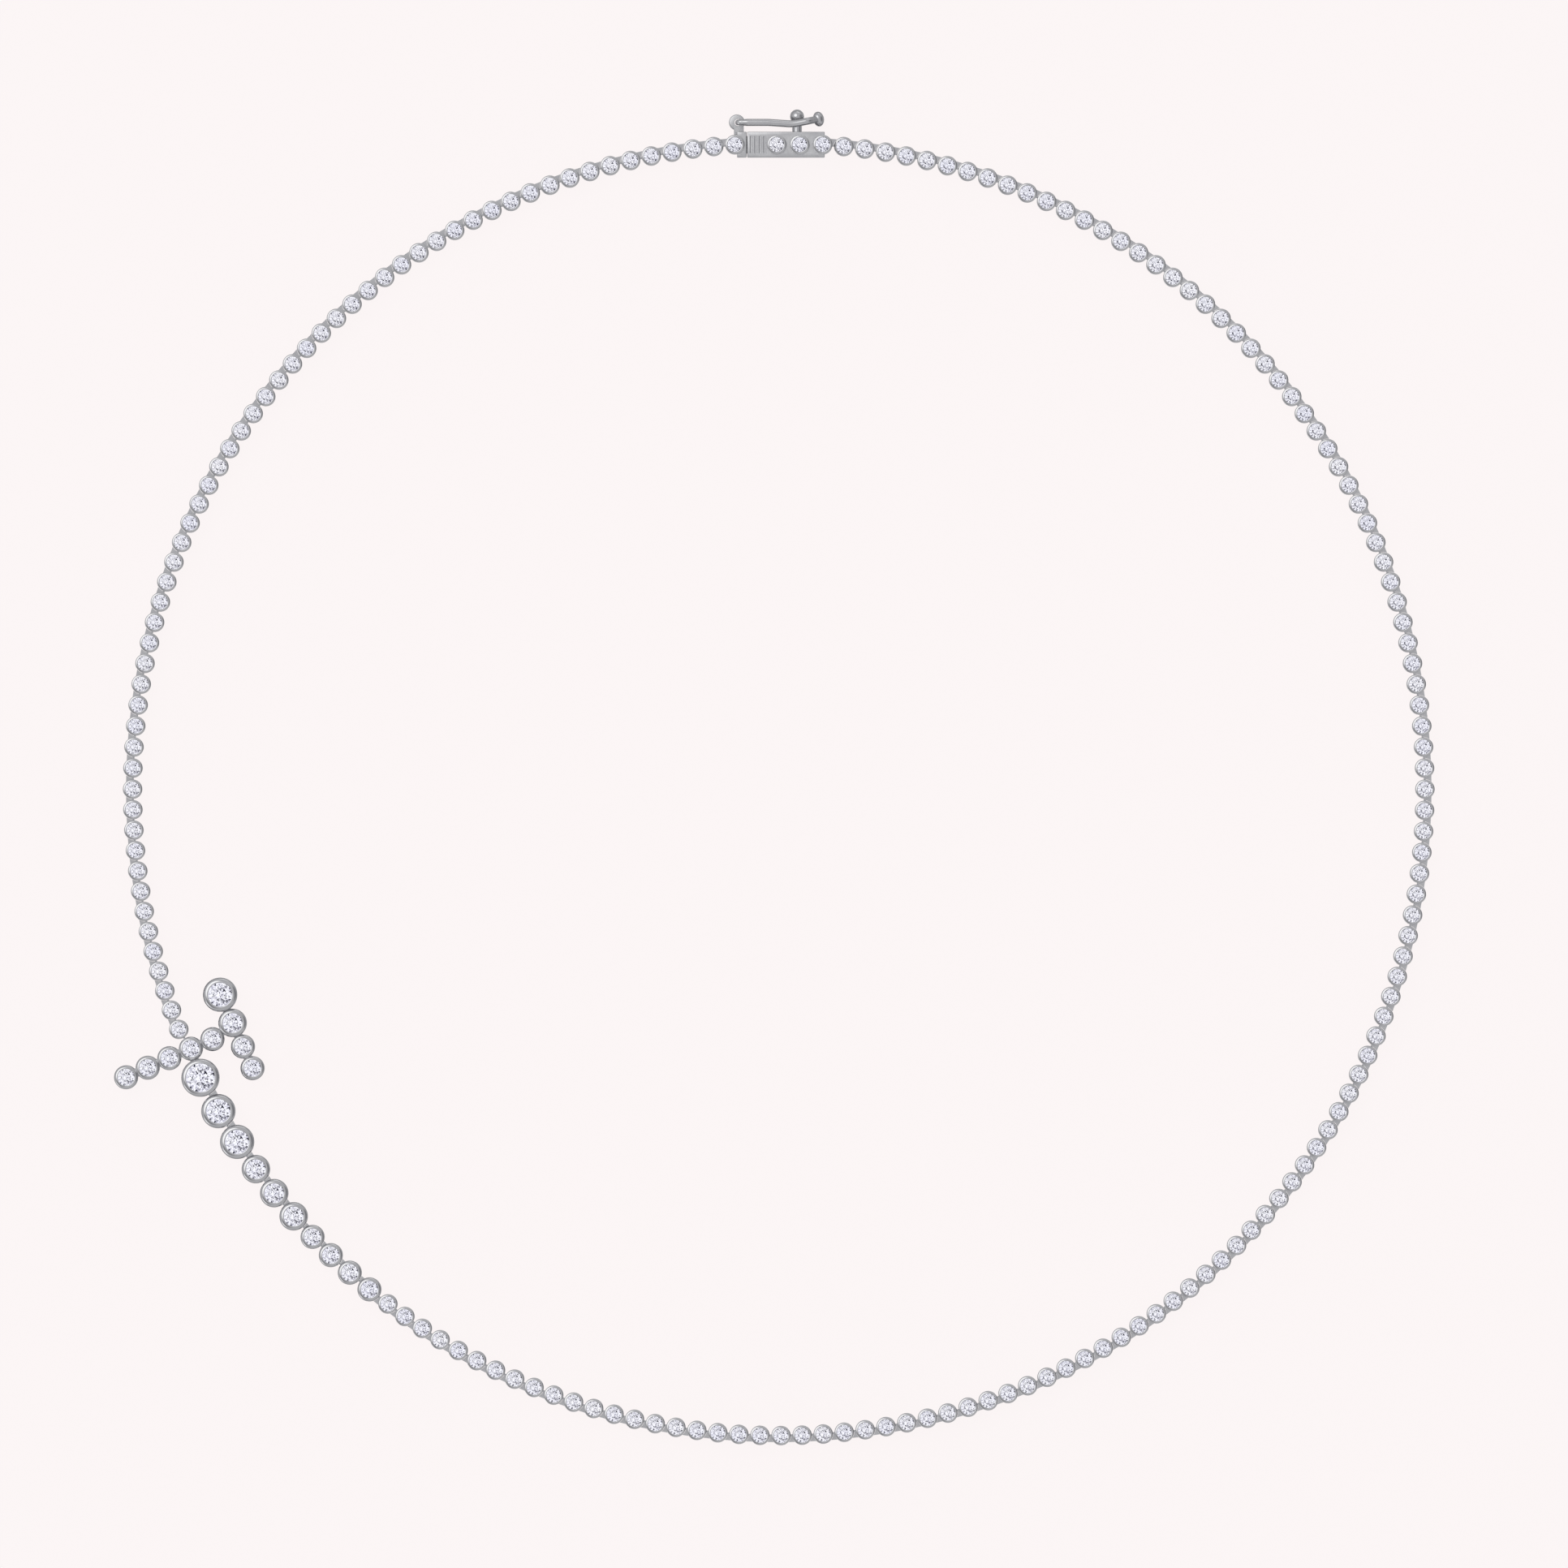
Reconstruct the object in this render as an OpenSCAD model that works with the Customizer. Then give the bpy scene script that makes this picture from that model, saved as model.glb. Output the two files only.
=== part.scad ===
// Riviere necklace: a closed run of round bezel settings with a soldered motif and a box clasp.
// It lies flat: the undersides are at z = 0, the stones face +Z and the clasp is at +Y.
// Millimetres. The origin is under the middle of the whole necklace's outline.

/* [Small links] */
// Outer diameter of a small bezel
small_od = 1.94; // [1.8:0.02:2.3]
// Diameter of a small stone
small_stone = 1.5; // [1.36:0.02:1.56]
// Height of a small bezel
small_height = 1.8; // [1.7:0.05:2.2]
// Number of small links to the right of the clasp
right_count = 114; // [90:1:120]
// Number of small links to the left of the clasp
left_count = 58; // [40:1:64]
// Gap between neighbouring bezels on the right
right_gap = 0.17; // [0.14:0.01:0.24]
// Gap between neighbouring bezels on the left
left_gap = 0.17; // [0.14:0.01:0.24]
// Number of left links next to the motif that sit closer together
close_count = 13; // [2:1:30]
// Gap between those closer bezels
close_gap = 0.11; // [0.11:0.005:0.16]

/* [Graduated links] */
// Outer diameter of a medium bezel, also used on the motif
medium_od = 2.4; // [2.2:0.02:2.6]
// Diameter of a medium stone
medium_stone = 1.78; // [1.6:0.02:1.9]
// Height of a medium bezel
medium_height = 1.95; // [1.85:0.05:2.3]
// Outer diameter of a large bezel
large_od = 2.84; // [2.6:0.02:3]
// Diameter of a large stone
large_stone = 2.06; // [1.9:0.02:2.2]
// Height of a large bezel
large_height = 2.1; // [2:0.05:2.4]
// Outer diameter of a major bezel
major_od = 3.42; // [3.2:0.02:3.6]
// Diameter of a major stone
major_stone = 2.5; // [2.3:0.02:2.7]
// Height of a major bezel
major_height = 2.3; // [2.2:0.05:2.6]
// Outer diameter of the lead bezel, the largest one
lead_od = 3.8; // [3.6:0.02:4.1]
// Diameter of the lead stone
lead_stone = 3.04; // [2.8:0.02:3.2]
// Height of the lead bezel
lead_height = 2.55; // [2.45:0.05:2.8]
// Gap between neighbouring bezels of the graduated run
graduated_gap = 0.18; // [0.14:0.01:0.26]

/* [Motif] */
// How deep soldered bezels run into each other
solder_depth = 0.04; // [0.02:0.01:0.08]
// How far inside the chain's circle the bar's own chain setting sits
bar_inset = 0.37; // [0:0.01:0.5]
// How far along the crossbar its second setting is from the bar's centre line
crossbar_shift = 0.67; // [0:0.01:1]
// Width of the solder bars under the bezels
solder_bar_w = 0.9; // [0.6:0.05:1.1]

/* [Bezels] */
// How far the lip covers the edge of the stone
lip_cover = 0.065; // [0.05:0.005:0.09]
// Clearance between a stone and its bezel
stone_clear = 0.04; // [0.03:0.005:0.05]
// Radius of the lip's rounded outer edge
lip_round = 0.14; // [0.08:0.01:0.15]
// Depth of the stone's girdle below the top of the bezel
girdle_depth = 0.33; // [0.3:0.01:0.36]
// Height of the crown as a share of the stone's diameter
crown_share = 0.15; // [0.12:0.01:0.17]
// Width of the table as a share of the stone's diameter
table_share = 0.57; // [0.53:0.01:0.62]
// Depth of the pavilion as a share of the stone's diameter
pavilion_share = 0.43; // [0.4:0.01:0.44]
// Thickness of the girdle
girdle_t = 0.03; // [0.02:0.01:0.05]

/* [Couplings] */
// Width of the neck that joins two links
neck_w = 0.2; // [0.16:0.02:0.22]
// Underside of the neck
neck_z = 0.3; // [0.28:0.01:0.32]
// Height of the neck
neck_h = 0.3; // [0.26:0.01:0.32]
// Radius of the knob at the end of the neck
knob_r = 0.27; // [0.25:0.01:0.28]
// Height of the knob
knob_h = 0.44; // [0.4:0.01:0.46]
// Clearance of the neck in its window and of the shoulder from the next bezel
link_clear = 0.105; // [0.1:0.005:0.12]
// Reach of a small link's shoulder to the side, as a share of the bezel's radius
small_shoulder = 0.72; // [0.5:0.02:0.8]
// Reach of a graduated link's shoulder to the side, as a share of the bezel's radius
graduated_shoulder = 0.46; // [0.36:0.02:0.6]
// Top of the shoulder below the top of the bezel
shoulder_drop = 0.5; // [0.4:0.02:0.7]

/* [Clasp box] */
// Distance between the first links on the two sides of the clasp
clasp_span = 13; // [12.6:0.1:14]
// Length of the box
box_l = 7.75; // [7.5:0.05:8]
// Width of the box
box_w = 2.56; // [2.4:0.02:2.8]
// Height of the box
box_h = 2.7; // [2.7:0.05:3]
// Wall of the box
box_wall = 0.3; // [0.25:0.01:0.35]
// How far the box reaches past the middle of its end collar
box_past_collar = 0.2; // [0.1:0.05:0.4]
// Distance of the box's centre line from the line of the chain, outward
box_offset = 0.18; // [0.1:0.01:0.25]
// How far the collars of the clasp stand above its box
collar_rise = 0.3; // [0.26:0.02:0.4]
// Spacing of the two inner collars on the box, measured from the end collar
collar_pitch = 2.3; // [2.2:0.02:2.36]
// Number of grooves in the thumb panel
groove_count = 4; // [2:1:4]
// Spacing of the grooves
groove_pitch = 0.45; // [0.36:0.01:0.46]
// Distance of the first groove from the seam end of the box
groove_start = 0.4; // [0.3:0.01:0.5]
// Width of a groove
groove_w = 0.2; // [0.14:0.01:0.24]
// Depth of a groove
groove_d = 0.14; // [0.08:0.01:0.18]
// Length of a groove across the box
groove_l = 1.7; // [1.2:0.05:1.9]

/* [Clasp tongue] */
// Length of the end block
block_l = 0.95; // [0.85:0.05:1]
// Width of the foot that ties the tongue's collar to the end block
foot_w = 1.7; // [1.4:0.05:1.8]
// Seam between the block and the box
seam_gap = 0.06; // [0.05:0.01:0.1]
// Length of the tongue inside the box
tongue_l = 5; // [4:0.1:5.4]
// Thickness of the tongue
tongue_t = 0.5; // [0.4:0.02:0.6]
// Underside of the tongue
tongue_z = 0.75; // [0.6:0.05:0.9]
// Clearance round the tongue
tongue_clear = 0.1; // [0.08:0.01:0.15]

/* [Safety catch] */
// Diameter of the ball on the post
ball_d = 1.4; // [1.3:0.02:1.42]
// Distance of the ball's centre from the side of the box
ball_reach = 1.54; // [1.5:0.02:1.7]
// Diameter of the post's neck
post_d = 0.96; // [0.8:0.02:1]
// Distance of the post from the free end of the box
post_from_end = 2.76; // [2.6:0.02:3]
// Diameter of the catch's wire
wire_d = 0.69; // [0.6:0.01:0.69]
// Clearance of the catch above and below the ball
catch_clear = 0.05; // [0.03:0.01:0.06]
// Diameter of the hinge pin at the wire's end
pin_d = 0.52; // [0.46:0.02:0.56]
// Radial clearance of the hinge pin in the eye
pin_clear = 0.09; // [0.05:0.01:0.1]
// Outer diameter of the eye
eye_d = 1.58; // [1.5:0.02:1.7]
// Thickness of the eye
eye_t = 1; // [0.8:0.05:1.2]
// Width of the eye's stem
eye_stem_w = 0.98; // [0.8:0.02:1.1]
// Distance of the stem's centre line from the eye's centre, along the box
stem_shift = 0.2; // [0.1:0.01:0.3]
// Distance of the eye's centre from the side of the block
eye_reach = 0.95; // [0.9:0.01:1.1]
// Distance of the eye's centre from the tongue's collar, along the box
eye_shift = 0.2; // [0.1:0.01:0.3]
// Distance of the hinge pin from the eye's centre
pin_shift = 0.12; // [0:0.01:0.15]
// Bend radius of the wire above and below the pin
elbow_r = 0.35; // [0.32:0.01:0.4]
// Length over which the pin's wire thickens
taper_l = 0.6; // [0.4:0.05:0.8]
// Straight run of the catch's wire from the hinge to its dip
catch_run = 2; // [1.8:0.1:2.2]
// Run of the wire down to the post
dip_run = 1.9; // [1.7:0.1:2.1]
// Angle by which the wire dips towards the box
dip_angle = 4; // [2:0.5:6]
// Angle by which the wire then rises away from the box
rise_angle = 11; // [9:1:13]
// Bend radius of the wire at the dip and the rise
bend_r = 3; // [2:0.1:4]
// Run of the wire past the ball before the two strands close
rise_run = 0.95; // [0.9:0.05:1.1]
// Angle at which the two strands close on the bead
closing_angle = 45; // [40:1:50]
// Bend radius of the wire where the strands close
closing_r = 0.5; // [0.4:0.05:0.6]
// Diameter of the bead at the catch's tip
bead_d = 1.1; // [1.06:0.02:1.2]
// Length of the bead across the catch
bead_l = 1.5; // [1.4:0.02:1.6]

/* [Hidden] */
// Fineness of every round that is drawn as a mesh
$fn = 48;
// Overlap that lets fused pieces run into each other
bite = 0.05;
// Overshoot that lets a cut run past a face
past = 0.2;

// Columns of a bezel: outer diameter, stone diameter, height
SMALL = [small_od, small_stone, small_height];
MEDIUM = [medium_od, medium_stone, medium_height];
LARGE = [large_od, large_stone, large_height];
MAJOR = [major_od, major_stone, major_height];
LEAD = [lead_od, lead_stone, lead_height];
COLLAR = [small_od, small_stone, box_h + collar_rise];
function stone_of(b) = b[1];
function height_of(b) = b[2];
function radius_of(b) = b[0] / 2;

// The links of the graduated run, from the lead setting's neighbour down to the small ones
GRADUATED = [MAJOR, MAJOR, LARGE, LARGE, LARGE, MEDIUM, MEDIUM, MEDIUM, MEDIUM];
graduated_count = len(GRADUATED);

// Stations clockwise from the clasp: right run, graduated run, lead setting, bar setting, left run
lead_at = right_count + graduated_count;
bar_at = lead_at + 1;
left_at = bar_at + 1;
station_count = left_at + left_count;
function is_graduated(i) = i >= right_count && i < lead_at;
function bezel_at(i) =
    is_graduated(i) ? GRADUATED[lead_at - 1 - i]
    : i == lead_at ? LEAD
    : i == bar_at ? MEDIUM
    : SMALL;
function inset_at(i) = i == bar_at ? bar_inset : 0;
function gap_after(i) =
    i < right_count - 1 ? right_gap
    : i < lead_at ? graduated_gap
    : i == lead_at ? -solder_depth
    : i < bar_at + close_count ? close_gap
    : left_gap;
function step_after(i) = radius_of(bezel_at(i)) + radius_of(bezel_at(i + 1)) + gap_after(i);

// The circle's radius is the one at which all the steps and the clasp close the loop
function corner(a, b, d) = acos((a * a + b * b - d * d) / (2 * a * b));
function turn_after(i, r) = corner(r - inset_at(i), r - inset_at(i + 1), step_after(i));
function sum_of(v, n) = n == 0 ? 0 : v * [for (k = [1 : n]) 1];
function turns(r) = [for (i = [0 : station_count - 2]) turn_after(i, r)];
function whole_turn(r) = sum_of(turns(r), station_count - 1) + corner(r, r, clasp_span);
function closing_radius(low, high, tries) =
    tries == 0 ? (low + high) / 2
    : whole_turn((low + high) / 2) > 360
        ? closing_radius((low + high) / 2, high, tries - 1)
        : closing_radius(low, (low + high) / 2, tries - 1);
perimeter = sum_of([for (i = [0 : station_count - 2]) step_after(i)], station_count - 1) + clasp_span;
loop_r = closing_radius(perimeter / 7, perimeter / 6, 40);
loop_turns = concat(turns(loop_r), [0]);
clasp_turn = corner(loop_r, loop_r, clasp_span);
first_angle = 90 - clasp_turn / 2;
ANGLES = [for (i = 0, a = first_angle; i < station_count; a = a - loop_turns[i], i = i + 1) a];
function polar(r, a) = [r * cos(a), r * sin(a)];
POINTS = [for (i = [0 : station_count - 1]) polar(loop_r - inset_at(i), ANGLES[i])];
function heading(from, to) = atan2(to[1] - from[1], to[0] - from[0]);
function heading_after(i) = heading(POINTS[i], POINTS[i + 1]);

// Motif, in its own frame: x along the chain clockwise, y outward, origin at the bar's chain setting
bar_pitch = medium_od - solder_depth;
bar_angle = ANGLES[bar_at];
inner_y = -bar_pitch;
crossbar_touch = (large_od + medium_od) / 2 - solder_depth;
crossbar_y = inner_y - sqrt(crossbar_touch * crossbar_touch - crossbar_shift * crossbar_shift);
crossbar_major_x = crossbar_shift + (major_od + large_od) / 2 - solder_depth;
crossbar_third_x = crossbar_shift - crossbar_touch;
crossbar_last_x = crossbar_third_x - bar_pitch;
// Columns of a motif setting: place across, place outward, bezel
MOTIF = [
    [0, 3 * bar_pitch, MEDIUM],
    [0, 2 * bar_pitch, MEDIUM],
    [0, bar_pitch, MEDIUM],
    [0, 0, MEDIUM],
    [0, inner_y, MEDIUM],
    [crossbar_shift, crossbar_y, LARGE],
    [crossbar_major_x, crossbar_y, MAJOR],
    [crossbar_third_x, crossbar_y, MEDIUM],
    [crossbar_last_x, crossbar_y, MEDIUM]
];
motif_count = len(MOTIF);
// Pairs of motif settings, counted from 0, that a solder bar joins
SOLDERED = [[0, 1], [1, 2], [2, 3], [3, 4], [4, 5], [5, 6], [5, 7], [7, 8]];

// The outline's middle, from the loop, the bar's outer end and the ball, moved to the origin
right_reach = loop_r + small_od / 2;
bottom_reach = -right_reach;
bar_end_r = loop_r - bar_inset + 3 * bar_pitch;
left_reach = min(bar_end_r * cos(bar_angle) - medium_od / 2, -right_reach);
clasp_y = loop_r * sin(first_angle);
box_side_y = box_offset + box_w / 2;
ball_y = box_side_y + ball_reach;
top_reach = clasp_y + ball_y + ball_d / 2;
centre_x = (left_reach + right_reach) / 2;
centre_y = (top_reach + bottom_reach) / 2;

// Clasp, in its own frame: x clockwise, y outward, origin midway between the first links
end_collar_x = clasp_span / 2 - small_od - right_gap;
box_x1 = end_collar_x + box_past_collar;
box_x0 = box_x1 - box_l;
block_x1 = box_x0 - seam_gap;
block_x0 = block_x1 - block_l;
tongue_collar_x = -clasp_span / 2 + small_od + left_gap;
COLLARS = [for (k = [0 : 2]) [end_collar_x - k * collar_pitch, box_offset]];
TONGUE_COLLAR = [tongue_collar_x, box_offset];
collar_point = [0, clasp_y] + COLLARS[0];
tongue_point = [0, clasp_y] + TONGUE_COLLAR;
cavity_w = box_w - 2 * box_wall;
catch_dz = ball_d / 2 + catch_clear + wire_d / 2;
catch_z = catch_dz + wire_d / 2;
ball_x = box_x1 - post_from_end;
eye_x = tongue_collar_x + eye_shift;
eye_y = box_side_y + eye_reach;
eye_hole_d = pin_d + 2 * pin_clear;
pin_x = eye_x + pin_shift;
closing_run = (catch_dz - closing_r * (1 - cos(closing_angle))) / sin(closing_angle);
strand_sides = 12;
// How far the wire stands out from the pin where it starts
wire_step = 0.03;
// The strand's moves: length, turn in plan, tilt upwards, diameter at the end
function arc_moves(r, steps, turn, tilt, d) =
    let (chord = 2 * r * sin(max(abs(turn), abs(tilt)) / steps / 2))
    [for (k = [1 : steps]) [chord, turn / steps, tilt / steps, d]];
STRAND = concat(
    arc_moves(elbow_r, 4, 0, -90, pin_d + 2 * wire_step),
    [[taper_l, 0, 0, wire_d], [catch_run, 0, 0, wire_d]],
    arc_moves(bend_r, 2, -dip_angle, 0, wire_d),
    [[dip_run, 0, 0, wire_d]],
    arc_moves(bend_r, 4, dip_angle + rise_angle, 0, wire_d),
    [[rise_run, 0, 0, wire_d]],
    arc_moves(closing_r, 3, 0, -closing_angle, wire_d),
    [[closing_run - bite, 0, 0, wire_d]]
);
// Points of a walk along such moves: place, heading, pitch, diameter
function ahead(h, p) = [cos(p) * cos(h), cos(p) * sin(h), sin(p)];
function walk(at, h, p, d, moves, i) = concat(
    [[at[0], at[1], at[2], h, p, d]],
    i == len(moves) ? []
    : walk(
        at + moves[i][0] * ahead(h + moves[i][1] / 2, p + moves[i][2] / 2),
        h + moves[i][1], p + moves[i][2], moves[i][3], moves, i + 1
    )
);
PATH = walk([0, 0, catch_dz - elbow_r], 0, 90, pin_d + 2 * wire_step, STRAND, 0);
function tube_ring(p) = [
    for (k = [0 : strand_sides - 1])
        let (a = k * 360 / strand_sides, side = [-sin(p[3]), cos(p[3]), 0], up = ahead(p[3], p[4] + 90))
            [p[0], p[1], p[2]] + p[5] / 2 * (cos(a) * side + sin(a) * up)
];
pocket_z = COLLAR[2] - girdle_depth - girdle_t - pavilion_share * small_stone - 2 * stone_clear;

// Solid of revolution that fills a bezel to its outer surface, with the lip's rounded top
module bezel_body(b) {
    r = radius_of(b);
    h = height_of(b);
    rotate_extrude() {
        square([r, h - lip_round]);
        square([r - lip_round, h]);
        translate([r - lip_round, h - lip_round]) circle(r = lip_round);
    }
}

// Everything inside a bezel: the bore, the stone's seat and the mouth of the lip
module bezel_bore(b) {
    h = height_of(b);
    stone_r = stone_of(b) / 2;
    bore_r = stone_r - stone_clear;
    seat_r = stone_r + stone_clear;
    lip_r = stone_r - lip_cover;
    girdle_z = h - girdle_depth;
    rotate_extrude() polygon([
        [0, -past],
        [bore_r, -past],
        [bore_r, girdle_z - 3 * stone_clear],
        [seat_r, girdle_z - stone_clear],
        [seat_r, girdle_z + stone_clear],
        [lip_r, girdle_z + lip_cover + stone_clear],
        [lip_r, girdle_z + lip_cover + 2 * stone_clear],
        [lip_r + lip_cover, h],
        [lip_r + lip_cover, h + past],
        [0, h + past]
    ]);
}

// Window in the wall of a bezel, on the side that the neck comes from
module window(b) {
    window_w = neck_w + 2 * link_clear;
    rotate(180) translate([0, -window_w / 2, neck_z - link_clear])
        cube([radius_of(b) + past, window_w, neck_h + 2 * link_clear]);
}

// Neck and knob from one bezel through the window of the next, along x
module coupler(b, next, step) {
    knob_x = step - stone_of(next) / 2 + stone_clear + link_clear + knob_r;
    neck_x = radius_of(b) - bite;
    translate([neck_x, -neck_w / 2, neck_z]) cube([knob_x - neck_x, neck_w, neck_h]);
    translate([knob_x, 0, neck_z + neck_h / 2 - knob_h / 2]) cylinder(r = knob_r, h = knob_h);
}

// Flat shoulder beside the centre line, cut back round the next bezel
module shoulder(b, next, step, side, share) {
    reach = share * min(radius_of(b), radius_of(next));
    top = min(height_of(b), height_of(next)) - shoulder_drop;
    difference() {
        translate([0, side > 0 ? 0 : -reach, neck_z]) cube([step, reach, top - neck_z]);
        translate([step, 0, 0]) cylinder(r = radius_of(next) + link_clear, h = top + past);
    }
}

// One link: bezel, shoulder, coupler to the next link and window for the one before
module link(i, side) {
    b = bezel_at(i);
    next = i == station_count - 1 ? COLLAR : bezel_at(i + 1);
    target = i == station_count - 1 ? tongue_point : POINTS[i + 1];
    source = i == 0 ? collar_point : POINTS[i - 1];
    step = norm(target - POINTS[i]);
    share = is_graduated(i) ? graduated_shoulder : small_shoulder;
    translate([POINTS[i][0] - centre_x, POINTS[i][1] - centre_y, 0]) {
        difference() {
            union() {
                bezel_body(b);
                rotate(heading(POINTS[i], target)) shoulder(b, next, step, side, share);
            }
            bezel_bore(b);
            rotate(heading(source, POINTS[i])) window(b);
        }
        rotate(heading(POINTS[i], target)) coupler(b, next, step);
    }
}

module chain_right() color("silver") for (i = [0 : right_count - 1]) link(i, 1);

module chain_left() color("silver") for (i = [left_at : station_count - 1]) link(i, 1);

module graduated_link(k) color("silver") link(lead_at - k, -1);

// A place in the necklace's frame from one measured from the loop's centre
module at_point(p) translate([p[0] - centre_x, p[1] - centre_y, 0]) children();

// The motif's own frame
module in_motif() at_point(POINTS[bar_at]) rotate(bar_angle - 90) children();

// The clasp's own frame
module in_clasp() at_point([0, clasp_y]) children();

// Bar of solder from one setting to the next, low between their walls
module solder_bar(from, to) {
    translate([from[0], from[1], neck_z]) rotate(heading(from, to))
        translate([0, -solder_bar_w / 2, 0])
            cube([norm(to - from), solder_bar_w, small_height - shoulder_drop - neck_z]);
}

function place(m) = [m[0], m[1]];

module motif_solid() {
    in_motif() {
        for (m = MOTIF) translate([m[0], m[1], 0]) bezel_body(m[2]);
        for (s = SOLDERED) solder_bar(place(MOTIF[s[0]]), place(MOTIF[s[1]]));
    }
    at_point(POINTS[lead_at]) bezel_body(LEAD);
    at_point([0, 0]) solder_bar(POINTS[lead_at], POINTS[bar_at]);
}

// Ten settings in one soldered piece, coupled into the chain at the lead and at the bar
module motif_frame() color("silver") {
    step = norm(POINTS[left_at] - POINTS[bar_at]);
    difference() {
        motif_solid();
        in_motif() for (m = MOTIF) translate([m[0], m[1], 0]) bezel_bore(m[2]);
        at_point(POINTS[lead_at]) {
            bezel_bore(LEAD);
            rotate(heading_after(lead_at - 1)) window(LEAD);
        }
    }
    at_point(POINTS[bar_at]) rotate(heading_after(bar_at)) coupler(MEDIUM, SMALL, step);
}

// Pocket for a stone in a collar that stands on solid metal
module collar_pocket() {
    intersection() {
        bezel_bore(COLLAR);
        translate([-small_od, -small_od, pocket_z]) cube([2 * small_od, 2 * small_od, COLLAR[2]]);
    }
}

module box_solid() {
    translate([box_x0, box_offset - box_w / 2, 0]) cube([box_l, box_w, box_h]);
    for (c = COLLARS) translate([c[0], c[1], 0]) bezel_body(COLLAR);
    translate([ball_x, box_side_y - bite, catch_z])
        rotate([-90, 0, 0]) cylinder(d = post_d, h = ball_reach);
    translate([ball_x, ball_y, catch_z]) sphere(d = ball_d);
}

// Slot for the tongue, open at the seam
module tongue_slot() {
    translate([box_x0 - past, box_offset - cavity_w / 2, tongue_z - tongue_clear])
        cube([past + tongue_l + tongue_clear, cavity_w, tongue_t + 2 * tongue_clear]);
}

module grooves() {
    for (k = [0 : groove_count - 1])
        translate([
            box_x0 + groove_start + k * groove_pitch - groove_w / 2,
            box_offset - groove_l / 2,
            box_h - groove_d
        ])
            cube([groove_w, groove_l, groove_d + past]);
}

// Box of the clasp, coupled to the first link on the right
module clasp_box() color("silver") in_clasp() {
    first_link = POINTS[0] - [0, clasp_y];
    step = norm(first_link - COLLARS[0]);
    difference() {
        box_solid();
        for (c = COLLARS) translate([c[0], c[1], 0]) collar_pocket();
        tongue_slot();
        grooves();
    }
    translate([COLLARS[0][0], COLLARS[0][1], 0]) rotate(heading(COLLARS[0], first_link)) {
        coupler(COLLAR, SMALL, step);
        shoulder(COLLAR, SMALL, step, 1, small_shoulder);
    }
}

// End block with its collar, the eye on its side and the tongue that enters the box
module clasp_tongue() color("silver") in_clasp() {
    last_link = POINTS[station_count - 1] - [0, clasp_y];
    eye_z = catch_z - eye_t / 2;
    stem_x = eye_x + stem_shift;
    difference() {
        union() {
            translate([block_x0, box_offset - box_w / 2, 0]) cube([block_l, box_w, box_h]);
            translate([tongue_collar_x, box_offset, 0]) bezel_body(COLLAR);
            translate([tongue_collar_x, box_offset - foot_w / 2, 0])
                cube([block_x1 - tongue_collar_x, foot_w, box_h]);
            translate([eye_x, eye_y, eye_z]) cylinder(d = eye_d, h = eye_t);
            translate([stem_x - eye_stem_w / 2, box_offset, eye_z])
                cube([eye_stem_w, eye_y - box_offset, eye_t]);
        }
        translate([tongue_collar_x, box_offset, 0]) {
            bezel_bore(COLLAR);
            rotate(heading(last_link, TONGUE_COLLAR)) window(COLLAR);
        }
        translate([pin_x, eye_y, eye_z - past]) cylinder(d = eye_hole_d, h = eye_t + 2 * past);
    }
    translate([block_x1 - bite, box_offset - cavity_w / 2 + tongue_clear, tongue_z])
        cube([bite + seam_gap + tongue_l, cavity_w - 2 * tongue_clear, tongue_t]);
}

// Strand of the catch: a tube swept along the moves from the pin's top to the bead
module strand() {
    n = len(PATH);
    m = strand_sides;
    polyhedron(
        points = [for (p = PATH) each tube_ring(p)],
        faces = concat(
            [[for (k = [0 : m - 1]) k]],
            [for (i = [0 : n - 2], k = [0 : m - 1])
                [i * m + k, (i + 1) * m + k, (i + 1) * m + (k + 1) % m, i * m + (k + 1) % m]],
            [[for (k = [m - 1 : -1 : 0]) (n - 1) * m + k]]
        )
    );
}

// Rounded bead, long across the catch
module bead() {
    waist = (bead_l - bead_d) / 2;
    rotate_extrude() intersection() {
        union() {
            translate([0, waist]) circle(d = bead_d);
            translate([0, -waist]) circle(d = bead_d);
            translate([0, -waist]) square([bead_d / 2, 2 * waist]);
        }
        translate([0, -bead_l]) square([bead_d, 2 * bead_l]);
    }
}

// Wire lever in an upright plane: it swings on its pin in the eye and passes round the ball
module safety_catch() color("silver") in_clasp() translate([pin_x, eye_y, catch_z]) {
    pin_h = catch_dz - elbow_r + bite;
    translate([0, 0, -pin_h]) cylinder(d = pin_d, h = 2 * pin_h);
    strand();
    mirror([0, 0, 1]) strand();
    end = PATH[len(PATH) - 1];
    translate([end[0], end[1], 0]) rotate([-90, 0, end[3]]) bead();
}

function ring(n, r, z) = [for (k = [0 : n - 1]) [r * cos(k * 360 / n), r * sin(k * 360 / n), z]];

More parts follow.
